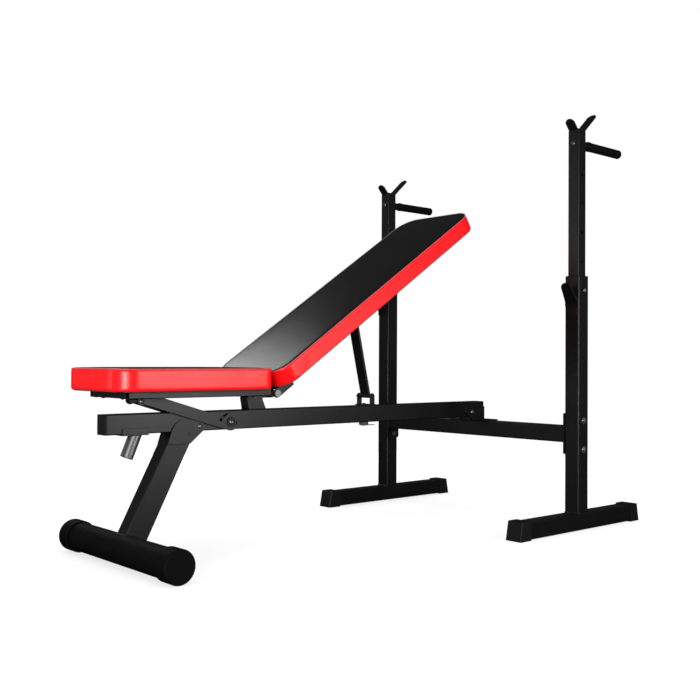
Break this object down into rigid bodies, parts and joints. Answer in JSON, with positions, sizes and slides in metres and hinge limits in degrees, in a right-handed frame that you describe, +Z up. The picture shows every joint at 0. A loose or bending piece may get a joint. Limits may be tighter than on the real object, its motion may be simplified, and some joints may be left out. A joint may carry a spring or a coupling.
{
  "type": "adjustable weight bench",
  "caption": "Incline weight bench with a tilting seat, a reclining back on a strut, a folding front leg and telescopic barbell uprights with forks and grips.",
  "frame": {"origin": "on the floor under the middle of the overall bounding box", "axes": "+Z up, +Y from the front leg toward the barbell uprights, +X to the right-hand upright for a viewer looking along +Y"},
  "size_m": [0.893, 1.6856, 1.2738],
  "materials": {
    "black_steel": "fine textured black powder coat",
    "plated_steel": "dull plated",
    "bright_steel": "satin",
    "black_plastic": "moulded, satin",
    "black_rubber": "matt",
    "plywood": "unfinished",
    "upholstery": "satin synthetic leather, red sides under a black top"
  },
  "bodies": {
    "frame": {"uprights": "black_steel", "upright_bushes": "black_plastic", "foot_tubes": "black_steel", "foot_end_caps": "black_plastic", "safety_hooks": "black_steel", "cross_beam": "black_steel", "cross_beam_end_plates": "black_steel", "cross_beam_bolts": "plated_steel", "beam_saddle": "black_steel", "main_beam": "black_steel", "beam_end_caps": "black_plastic", "beam_bolts": "plated_steel", "frame_nuts": "plated_steel", "seat_strut_nut": "plated_steel", "bracket_nut": "plated_steel", "seat_post": "black_steel", "pivot_axle": "plated_steel", "strut_bracket": "black_steel", "bracket_pin": "plated_steel", "bracket_clip": "plated_steel", "seat_strut_bolt": "plated_steel", "seat_strut_washers": "black_plastic", "seat_strut_spacers": "black_plastic", "socket_bracket": "black_steel", "accessory_socket": "bright_steel"},
    "seat": {"seat_cushion": "upholstery", "seat_board": "plywood", "seat_rails": "black_steel", "seat_cross_bars": "black_steel", "seat_brackets": "black_steel", "seat_pad_screws": "plated_steel", "seat_lug_bolt": "plated_steel", "seat_lug_nut": "plated_steel"},
    "seat_strut": {"seat_strut": "black_steel"},
    "back": {"back_cushion": "upholstery", "back_board": "plywood", "back_rails": "black_steel", "back_cross_bars": "black_steel", "back_brackets": "black_steel", "back_pad_screws": "plated_steel", "strut_top_pin": "plated_steel"},
    "back_strut": {"back_strut": "black_steel"},
    "leg": {"leg_tube": "black_steel", "leg_plates": "black_steel", "leg_stop_pin": "plated_steel", "foot_bar": "black_steel", "foot_bar_caps": "black_rubber"},
    "near_post": {"near_post_tube": "black_steel", "near_bar_fork": "black_steel", "near_handle_tube": "black_steel", "near_grip": "black_rubber", "near_handle_bolt": "plated_steel"},
    "far_post": {"far_post_tube": "black_steel", "far_bar_fork": "black_steel", "far_handle_tube": "black_steel", "far_grip": "black_rubber", "far_handle_bolt": "plated_steel"},
    "near_lock": {"near_lock_pin": "plated_steel"},
    "far_lock": {"far_lock_pin": "plated_steel"},
    "strut_lock": {"strut_lock_plunger": "plated_steel"}
  },
  "joints": [
    {"name": "back_recline", "type": "hinge", "parent": "frame", "child": "back", "pos_m": [0, -0.359, 0.42], "axis": [1, 0, 0], "range_deg": [-33.7, 0]},
    {"name": "back_strut_swing", "type": "hinge", "parent": "back", "child": "back_strut", "pos_m": [0, -0.00745, 0.65975], "axis": [1, 0, 0], "range_deg": [0, 111.2]},
    {"name": "seat_tilt", "type": "hinge", "parent": "frame", "child": "seat", "pos_m": [0, -0.359, 0.42], "axis": [-1, 0, 0], "range_deg": [0, 8]},
    {"name": "seat_strut_swing", "type": "hinge", "parent": "seat", "child": "seat_strut", "pos_m": [0, -0.721, 0.405], "axis": [-1, 0, 0], "range_deg": [0, 2]},
    {"name": "leg_fold", "type": "hinge", "parent": "frame", "child": "leg", "pos_m": [0, -0.5495, 0.337], "axis": [1, 0, 0], "range_deg": [0, 95]},
    {"name": "near_post_slide", "type": "slide", "parent": "frame", "child": "near_post", "axis": [0, 0, 1], "range_m": [-0.352, 0]},
    {"name": "far_post_slide", "type": "slide", "parent": "frame", "child": "far_post", "axis": [0, 0, 1], "range_m": [-0.264, 0.088]},
    {"name": "near_lock_slide", "type": "slide", "parent": "frame", "child": "near_lock", "axis": [-1, 0, 0], "range_m": [0, 0.0035]},
    {"name": "far_lock_slide", "type": "slide", "parent": "frame", "child": "far_lock", "axis": [1, 0, 0], "range_m": [0, 0.0035]},
    {"name": "strut_lock_slide", "type": "slide", "parent": "frame", "child": "strut_lock", "axis": [1, 0, 0], "range_m": [0, 0.005]}
  ],
  "couplings": [
    {"joint": "back_strut_swing", "follows": "back_recline", "ratio": -3.2938},
    {"joint": "seat_strut_swing", "follows": "seat_tilt", "ratio": 0.2475}
  ]
}
